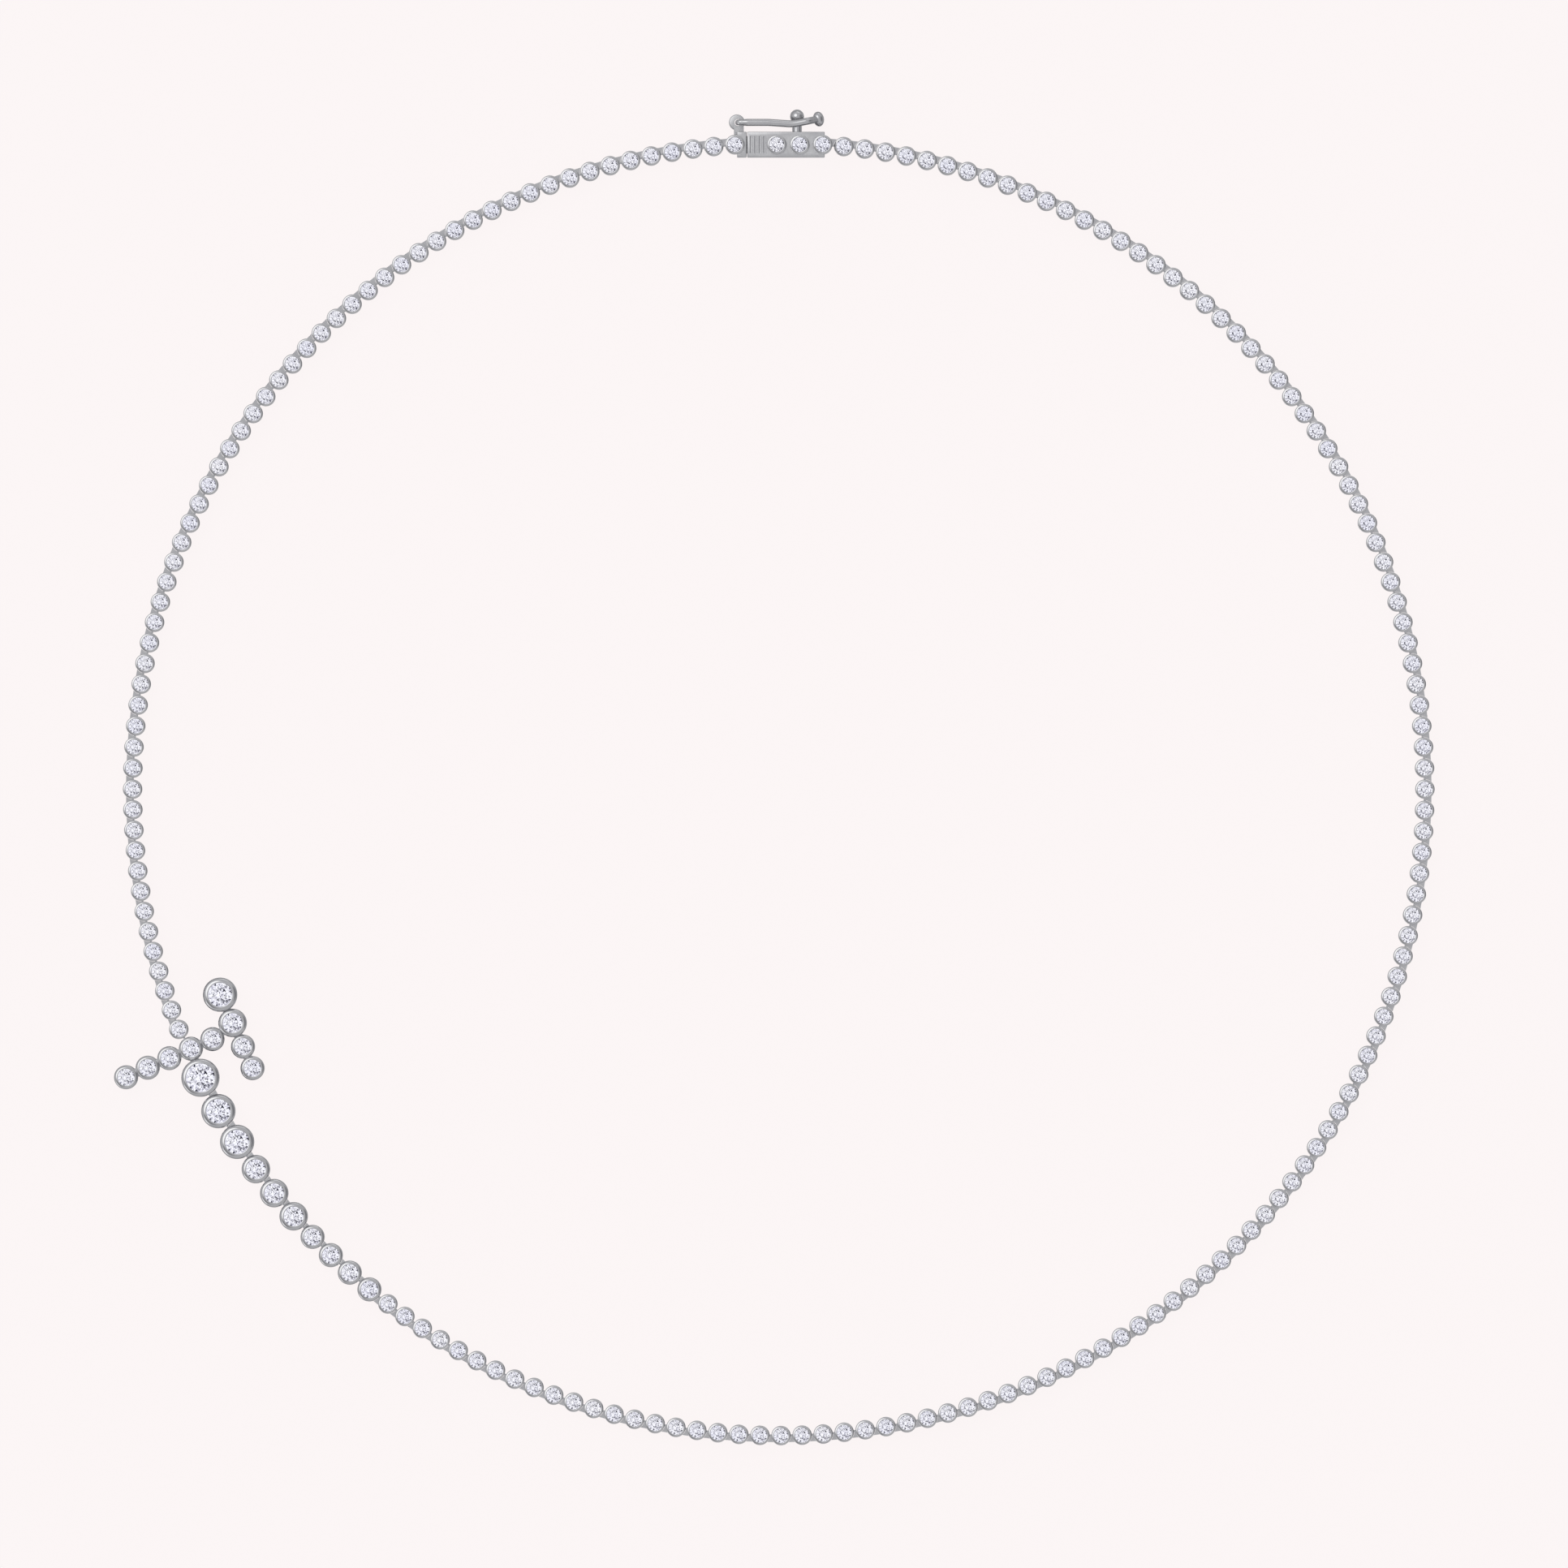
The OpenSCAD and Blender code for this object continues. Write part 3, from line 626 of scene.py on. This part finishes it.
def clasp_tongue_mesh(seat, box_x0, last_link):
    r = bezel_of(seat[2])[0]
    x1 = box_x0 - SEAM
    y = seat[1]
    side_y = y + BOX_W / 2
    eye_x, eye_y = seat[0] + EYE_SHIFT, side_y + EYE_REACH
    eye_z = CATCH_Z - EYE_T / 2
    body = block(x1 - BLOCK_L, x1, y - BOX_W / 2, side_y, 0, BOX_H, BOX_ROUND)
    stem_x = eye_x + STEM_SHIFT
    stem = block(stem_x - EYE_STEM_W / 2, stem_x + EYE_STEM_W / 2, y + 1, eye_y, eye_z, eye_z + EYE_T, 0.05)
    eye = moved(rod(EYE_D / 2, eye_z, eye_z + EYE_T, ROUND, edge=EYE_EDGE), eye_x, eye_y)
    hole = moved(rod(PIN_HOLE_D / 2, eye_z - PAST, eye_z + EYE_T + PAST, COARSE), eye_x + PIN_SHIFT, eye_y)
    body = cut(union(body, stem, eye), hole)
    body = collar_on(body, seat, 0.0, through=True)
    body = cut(body, moved(window(r), seat[0], seat[1], turn=heading(last_link, seat)))
    half = TONGUE_W / 2
    tongue = block(x1 - BITE, x1 + SEAM + TONGUE_L, y - half, y + half, TONGUE_Z, TONGUE_Z + TONGUE_T, 0.04)
    return union(body, tongue)


def motif_mesh():
    """Ten settings soldered to each other, with the coupler into the left run."""
    soldered = [(0, 1), (1, 2), (2, 3), (3, 4), (4, 5), (5, 6), (5, 7), (7, 8), (3, 9)]
    settings = motif + [lead]
    bars = None
    small_h = bezel_of(SMALL_STONE)[2]
    for a, b in soldered:
        p, q = settings[a], settings[b]
        length = distance(p, q)
        solder = block(0, length, -SOLDER_W / 2, SOLDER_W / 2, NECK_Z, small_h - SHOULDER_DROP)
        solder = moved(solder, p[0], p[1], turn=heading(p, q))
        bars = solder if bars is None else union(bars, solder)
    for seat in settings:
        r, stone_r, height = bezel_of(seat[2])
        middle = (r + stone_r - STONE_CLEAR) / 2
        bars = cut(bars, moved(rod(middle, 0, height, ROUND), seat[0], seat[1]))
    body = bars
    for seat in settings:
        r, stone_r, height = bezel_of(seat[2])
        body = union(body, moved(bezel_wall(r, stone_r, height, LARGE_RIM_SIDES, rolls=8), seat[0], seat[1]))
    body = cut(body, moved(window(bezel_of(lead[2])[0]), lead[0], lead[1], turn=heading(graduated[-1], lead)))
    r, _, _ = bezel_of(bar[2])
    neck = coupler(r, SMALL_STONE / 2, distance(bar, left[0]))
    return union(body, moved(neck, bar[0], bar[1], turn=heading(bar, left[0])))


# Materials

def new_material(name):
    material = bpy.data.materials.new(name)
    material.use_nodes = True
    nodes = material.node_tree.nodes
    return material, nodes, material.node_tree.links, nodes["Principled BSDF"]


def noise(nodes, links, scale, detail=2.0, stretch=(1, 1, 1)):
    """Noise in the object's own space, finer along the axes with a larger stretch."""
    place = nodes.new("ShaderNodeTexCoord")
    mapping = nodes.new("ShaderNodeMapping")
    mapping.inputs["Scale"].default_value = stretch
    texture = nodes.new("ShaderNodeTexNoise")
    texture.inputs["Scale"].default_value = scale
    texture.inputs["Detail"].default_value = detail
    links.new(place.outputs["Object"], mapping.inputs["Vector"])
    links.new(mapping.outputs["Vector"], texture.inputs["Vector"])
    return texture.outputs["Fac"]


def ramp(nodes, links, source, low, high, start=0.3, end=0.7):
    """Colours from low to high where the source goes from start to end."""
    node = nodes.new("ShaderNodeValToRGB")
    node.color_ramp.elements[0].position = start
    node.color_ramp.elements[0].color = (*low, 1)
    node.color_ramp.elements[1].position = end
    node.color_ramp.elements[1].color = (*high, 1)
    links.new(source, node.inputs["Fac"])
    return node.outputs["Color"]


def spread(nodes, links, source, low, high):
    node = nodes.new("ShaderNodeMapRange")
    node.inputs["To Min"].default_value = low
    node.inputs["To Max"].default_value = high
    links.new(source, node.inputs["Value"])
    return node.outputs["Result"]


def metal(name, low, high, rough_low, rough_high, grain_scale, grain_stretch, bump):
    """White gold: slow tone changes, roughness that varies, and a fine grain in relief."""
    material, nodes, links, shader = new_material(name)
    shader.inputs["Metallic"].default_value = 1.0
    tone = noise(nodes, links, 900.0, 3.0)
    links.new(ramp(nodes, links, tone, low, high), shader.inputs["Base Color"])
    grain = noise(nodes, links, grain_scale, 3.0, grain_stretch)
    links.new(spread(nodes, links, grain, rough_low, rough_high), shader.inputs["Roughness"])
    relief = nodes.new("ShaderNodeBump")
    relief.inputs["Strength"].default_value = bump
    relief.inputs["Distance"].default_value = 0.00002
    links.new(grain, relief.inputs["Height"])
    links.new(relief.outputs["Normal"], shader.inputs["Normal"])
    return material


def diamond():
    material, nodes, links, shader = new_material("diamond")
    tint = ramp(nodes, links, noise(nodes, links, 500.0, 1.0), (0.93, 0.94, 1.0), (1.0, 1.0, 1.0))
    links.new(tint, shader.inputs["Base Color"])
    shader.inputs["Transmission Weight"].default_value = 1.0
    shader.inputs["IOR"].default_value = 2.42
    shader.inputs["Roughness"].default_value = 0.0
    shader.inputs["Specular Tint"].default_value = (0.1, 0.1, 0.1, 1)
    return material


polished = metal("white_gold_polished", (0.56, 0.56, 0.575), (0.62, 0.62, 0.63), 0.1, 0.2,
                 6000.0, (1, 1, 1), 0.08)
satin = metal("white_gold_satin", (0.55, 0.55, 0.565), (0.63, 0.63, 0.64), 0.28, 0.42,
              5000.0, (1.6, 0.5, 1), 0.25)
clear = diamond()


# Pieces

def add_piece(name, mesh, materials, body, nodes=(), smooth_to=None):
    """A piece of the necklace from a mesh in millimetres, in place of the given nodes."""
    mesh.transform(Matrix.Scale(MM, 4))
    mesh.name = name
    mesh.materials.clear()
    for material in materials:
        mesh.materials.append(material)
    mesh.polygons.foreach_set("use_smooth", [smooth_to is not None] * len(mesh.polygons))
    if smooth_to is not None:
        mesh.set_sharp_from_angle(angle=math.radians(smooth_to))
    piece = bpy.data.objects.new(name, mesh)
    bpy.context.scene.collection.objects.link(piece)
    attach(piece, body)
    if nodes:
        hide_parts(*nodes)
    return piece


def add_metal(name, mesh, nodes, body="necklace", satin_faces=None):
    piece = add_piece(name, mesh, [polished, satin], body, nodes, smooth_to=32)
    if satin_faces:
        for face in piece.data.polygons:
            face.material_index = int(satin_faces(face.center / MM))
    return piece


def add_stones(name, seats, height, nodes=()):
    stones = joined([set_stone(seat, height or bezel_of(seat[2])[2]) for seat in seats])
    return add_piece(name, stones, [clear], "necklace", nodes)


first_right, first_graduated = 1, 1 + len(right)
first_left = first_graduated + len(graduated) + 2
add_metal("links_right", joined([placed_link(first_right + k, 1, LINK_SIDES) for k in range(len(right))]),
          ["chain_right"])
add_metal("links_left", joined([placed_link(first_left + k, 1, LINK_SIDES) for k in range(len(left))]),
          ["chain_left"])
for k in range(len(graduated)):
    number = len(graduated) - k
    link = placed_link(first_graduated + k, -1, LARGE_RIM_SIDES)
    add_metal(f"link_{number}", link, [f"graduated_link_{number}"])
add_metal("motif_settings", motif_mesh(), ["motif_frame"])
add_metal("catch_wire", moved(catch_mesh(), tongue_seat[0] + EYE_SHIFT + PIN_SHIFT,
                              tongue_seat[1] + BOX_W / 2 + EYE_REACH, CATCH_Z), ["safety_catch"], "catch")
collars = [end_seat, seat_of("clasp_stone_3"), seat_of("clasp_stone_4")]


def on_box(centre):
    """Whether a face is on the clasp's flat sides and not on a collar, the post or the ball."""
    raised = centre.z > BOX_H + 0.001
    collar = raised and any(distance(seat, centre) < 0.98 for seat in collars + [tongue_seat])
    post = centre.y > end_seat[1] + BOX_W / 2 + 0.02 and centre.x > end_seat[0] - 4
    link = centre.x > end_seat[0] + BOX_PAST_COLLAR + 0.01 or centre.x < tongue_seat[0] - 0.99
    return not (collar or post or link)


add_metal("clasp_box_body", clasp_box_mesh(collars, right[0]), ["clasp_box"], satin_faces=on_box)
add_metal("clasp_tongue_body",
          clasp_tongue_mesh(tongue_seat, end_seat[0] + BOX_PAST_COLLAR - BOX_L, left[-1]),
          ["clasp_tongue"], satin_faces=on_box)
add_stones("stones_right", right, None)
add_stones("stones_left", left, None)
for prefix, seats in (("motif_stone", motif), ("graduated_stone", [lead] + graduated[::-1])):
    for k, seat in enumerate(seats, 1):
        add_stones(f"{prefix}_{k}_cut", [seat], None, [f"{prefix}_{k}"])
for k in range(1, 5):
    add_stones(f"clasp_stone_{k}_cut", [seat_of(f"clasp_stone_{k}")], COLLAR_HEIGHT, [f"clasp_stone_{k}"])


# Floor, light and camera

def direction(azimuth, from_zenith):
    a, t = math.radians(azimuth), math.radians(from_zenith)
    return Vector((math.sin(t) * math.cos(a), math.sin(t) * math.sin(a), math.cos(t)))


def softbox(name, azimuth, from_zenith, across, along, radiance, distance_m=1.0, colour=(1, 1, 1)):
    """Area light that fills these angles, in degrees, seen from the necklace."""
    light = bpy.data.lights.new(name, "AREA")
    light.shape = "RECTANGLE"
    light.size = 2 * distance_m * math.tan(math.radians(across / 2))
    light.size_y = 2 * distance_m * math.tan(math.radians(along / 2))
    light.color = colour
    light.energy = radiance * math.pi * light.size * light.size_y
    lamp = bpy.data.objects.new(name, light)
    towards = direction(azimuth, from_zenith)
    lamp.location = towards * distance_m
    lamp.rotation_mode = "QUATERNION"
    lamp.rotation_quaternion = towards.to_track_quat("Z", "Y")
    lamp.visible_glossy = False
    lamp.visible_transmission = False
    bpy.context.scene.collection.objects.link(lamp)
    return lamp


def add_floor():
    """Pale floor: its own even tone for the eye, a neutral half tone for the metal, a faint soft shadow."""
    bm = bmesh.new()
    bmesh.ops.create_circle(bm, cap_ends=True, segments=64, radius=20.0)
    mesh = bpy.data.meshes.new("floor")
    bm.to_mesh(mesh)
    bm.free()
    floor = bpy.data.objects.new("floor", mesh)
    floor.location.z = -0.00002
    bpy.context.scene.collection.objects.link(floor)
    material = bpy.data.materials.new("floor")
    material.use_nodes = True
    nodes, links = material.node_tree.nodes, material.node_tree.links
    nodes.clear()
    out = nodes.new("ShaderNodeOutputMaterial")
    glow = nodes.new("ShaderNodeEmission")
    path = nodes.new("ShaderNodeLightPath")
    tone = nodes.new("ShaderNodeMix")
    tone.data_type = "RGBA"
    tone.inputs[7].default_value = (*PALE, 1)
    leak = nodes.new("ShaderNodeMix")
    leak.data_type = "RGBA"
    leak.inputs[6].default_value = (*FLOOR_TO_METAL, 1)
    leak.inputs[7].default_value = (*FLOOR_TO_STONES, 1)
    links.new(path.outputs["Is Transmission Ray"], leak.inputs["Factor"])
    links.new(leak.outputs[2], tone.inputs[6])
    links.new(path.outputs["Is Camera Ray"], tone.inputs["Factor"])
    links.new(tone.outputs[2], glow.inputs["Color"])
    matt = nodes.new("ShaderNodeBsdfDiffuse")
    matt.inputs["Color"].default_value = (0.03, 0.028, 0.028, 1)
    both = nodes.new("ShaderNodeAddShader")
    links.new(glow.outputs[0], both.inputs[0])
    links.new(matt.outputs[0], both.inputs[1])
    links.new(both.outputs[0], out.inputs["Surface"])
    mesh.materials.append(material)


# Light the metal sees: azimuth, angle from the zenith, inner and outer radius of a soft patch, its colour
METAL_BASE = (0.64, 0.64, 0.655)
METAL_LIGHT = [
    (222, 38, 10, 28, (0.34, 0.34, 0.355)),
    (5, 68, 14, 36, (0.28, 0.28, 0.295)),
    (220, 84, 8, 21, (1.45, 1.45, 1.45)),
    (77, 92, 8, 26, (1.2, 1.2, 1.2)),
    (142, 33, 17, 30, (1.6, 1.6, 1.6)),
]
# Light the stones gather: the same kind of patches over a noise whose low values are dark specks,
# as rows of a noise value and the tone there
STONE_LIGHT = [
    (40, 38, 7, 14, (0.02, 0.02, 0.04)),
]
SPECK_SCALE = 8.0
SPECK_SHIFT = (-0.87, 6.39, -5.58)
SPECK_TONES = [
    (0.38, (0.02, 0.02, 0.04)),
    (0.4, (0.55, 0.54, 0.63)),
    (0.48, (0.7, 0.69, 0.78)),
    (0.5, (1.08, 1.08, 1.12)),
]


def add_world():
    """Studio of soft patches round the necklace, one set for the metal and one for the stones."""
    world = bpy.data.worlds.new("studio")
    bpy.context.scene.world = world
    world.use_nodes = True
    nodes, links = world.node_tree.nodes, world.node_tree.links
    background = nodes["Background"]
    place = nodes.new("ShaderNodeTexCoord")

    def patch(azimuth, from_zenith, inner, outer):
        """1 within inner degrees of a direction, 0 outside outer degrees."""
        dot = nodes.new("ShaderNodeVectorMath")
        dot.operation = "DOT_PRODUCT"
        dot.inputs[1].default_value = direction(azimuth, from_zenith)
        links.new(place.outputs["Generated"], dot.inputs[0])
        step = nodes.new("ShaderNodeMapRange")
        step.interpolation_type = "SMOOTHSTEP"
        step.inputs["From Min"].default_value = math.cos(math.radians(outer))
        step.inputs["From Max"].default_value = math.cos(math.radians(inner))
        links.new(dot.outputs["Value"], step.inputs["Value"])
        return step.outputs["Result"]

    def mixed(factor, base, over):
        mix = nodes.new("ShaderNodeMix")
        mix.data_type = "RGBA"
        links.new(factor, mix.inputs["Factor"])
        for socket, colour in ((mix.inputs[6], base), (mix.inputs[7], over)):
            if isinstance(colour, tuple):
                socket.default_value = (*colour, 1)
            else:
                links.new(colour, socket)
        return mix.outputs[2]

    def patches(base, rows):
        for azimuth, from_zenith, inner, outer, colour in rows:
            base = mixed(patch(azimuth, from_zenith, inner, outer), base, colour)
        return base

    spread_out = nodes.new("ShaderNodeMapping")
    spread_out.inputs["Location"].default_value = SPECK_SHIFT
    links.new(place.outputs["Generated"], spread_out.inputs["Vector"])
    specks = nodes.new("ShaderNodeTexNoise")
    specks.inputs["Scale"].default_value = SPECK_SCALE
    specks.inputs["Detail"].default_value = 1.0
    links.new(spread_out.outputs["Vector"], specks.inputs["Vector"])
    speck = nodes.new("ShaderNodeValToRGB")
    stops = speck.color_ramp.elements
    while len(stops) < len(SPECK_TONES):
        stops.new(1.0)
    for stop, (at, colour) in zip(stops, SPECK_TONES):
        stop.position = at
        stop.color = (*colour, 1)
    links.new(specks.outputs["Fac"], speck.inputs["Fac"])
    path = nodes.new("ShaderNodeLightPath")
    stones = patches(speck.outputs["Color"], STONE_LIGHT)
    colour = mixed(path.outputs["Is Transmission Ray"], patches(METAL_BASE, METAL_LIGHT), stones)
    links.new(mixed(path.outputs["Is Camera Ray"], colour, PALE), background.inputs["Color"])
    background.inputs["Strength"].default_value = 1.0


def add_camera():
    data = bpy.data.cameras.new("camera")
    data.lens = LENS
    data.sensor_width = SENSOR
    data.clip_start = 0.05
    data.clip_end = 100.0
    camera = bpy.data.objects.new("camera", data)
    camera.location = (VIEW_X * MM, VIEW_Y * MM, (VIEW_Z + FRAME_W * LENS / SENSOR) * MM)
    bpy.context.scene.collection.objects.link(camera)
    bpy.context.scene.camera = camera


add_camera()
add_floor()
add_world()
softbox("key", 142, 33, 40, 40, 1.0)
bpy.context.scene.view_settings.view_transform = "Standard"

bpy.context.view_layer.update()
